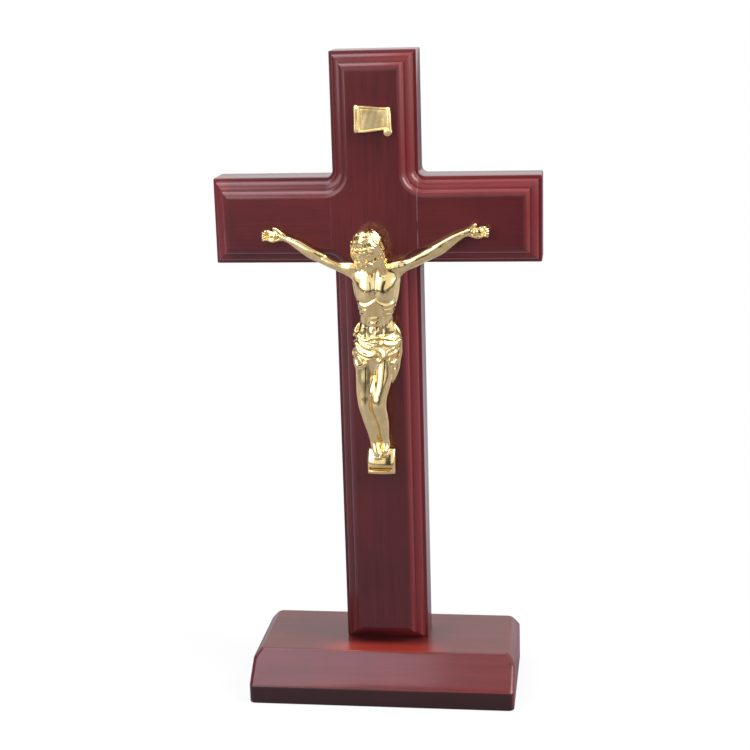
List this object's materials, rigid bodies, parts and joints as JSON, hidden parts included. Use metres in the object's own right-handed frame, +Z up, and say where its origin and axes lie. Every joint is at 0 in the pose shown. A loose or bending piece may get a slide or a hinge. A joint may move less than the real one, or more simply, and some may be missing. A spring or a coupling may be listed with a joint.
{
  "type": "wooden standing cross",
  "caption": "Table cross of stained hardwood with a stepped moulded edge on a bevelled base, carrying a cast gold-coloured figure and a small scroll.",
  "frame": {"origin": "middle of the base's underside", "axes": "+Z up along the upright, +X to the viewer's right, -Y to the front"},
  "size_m": [0.1246, 0.053, 0.25],
  "materials": {
    "lacquered_wood": "red-brown stain under satin lacquer",
    "bare_wood": "bare beech",
    "screw_steel": "zinc plated",
    "polished_gold": "bright gold plating on a zinc casting"
  },
  "bodies": {
    "root": {"base": "lacquered_wood", "upright": "lacquered_wood", "arm_left": "lacquered_wood", "arm_right": "lacquered_wood", "dowel_left_lower": "bare_wood", "dowel_left_upper": "bare_wood", "dowel_right_lower": "bare_wood", "dowel_right_upper": "bare_wood", "base_screw_left": "screw_steel", "base_screw_right": "screw_steel", "figure": "polished_gold", "scroll": "polished_gold", "hand_nail_left": "polished_gold", "hand_nail_right": "polished_gold"}
  },
  "joints": []
}
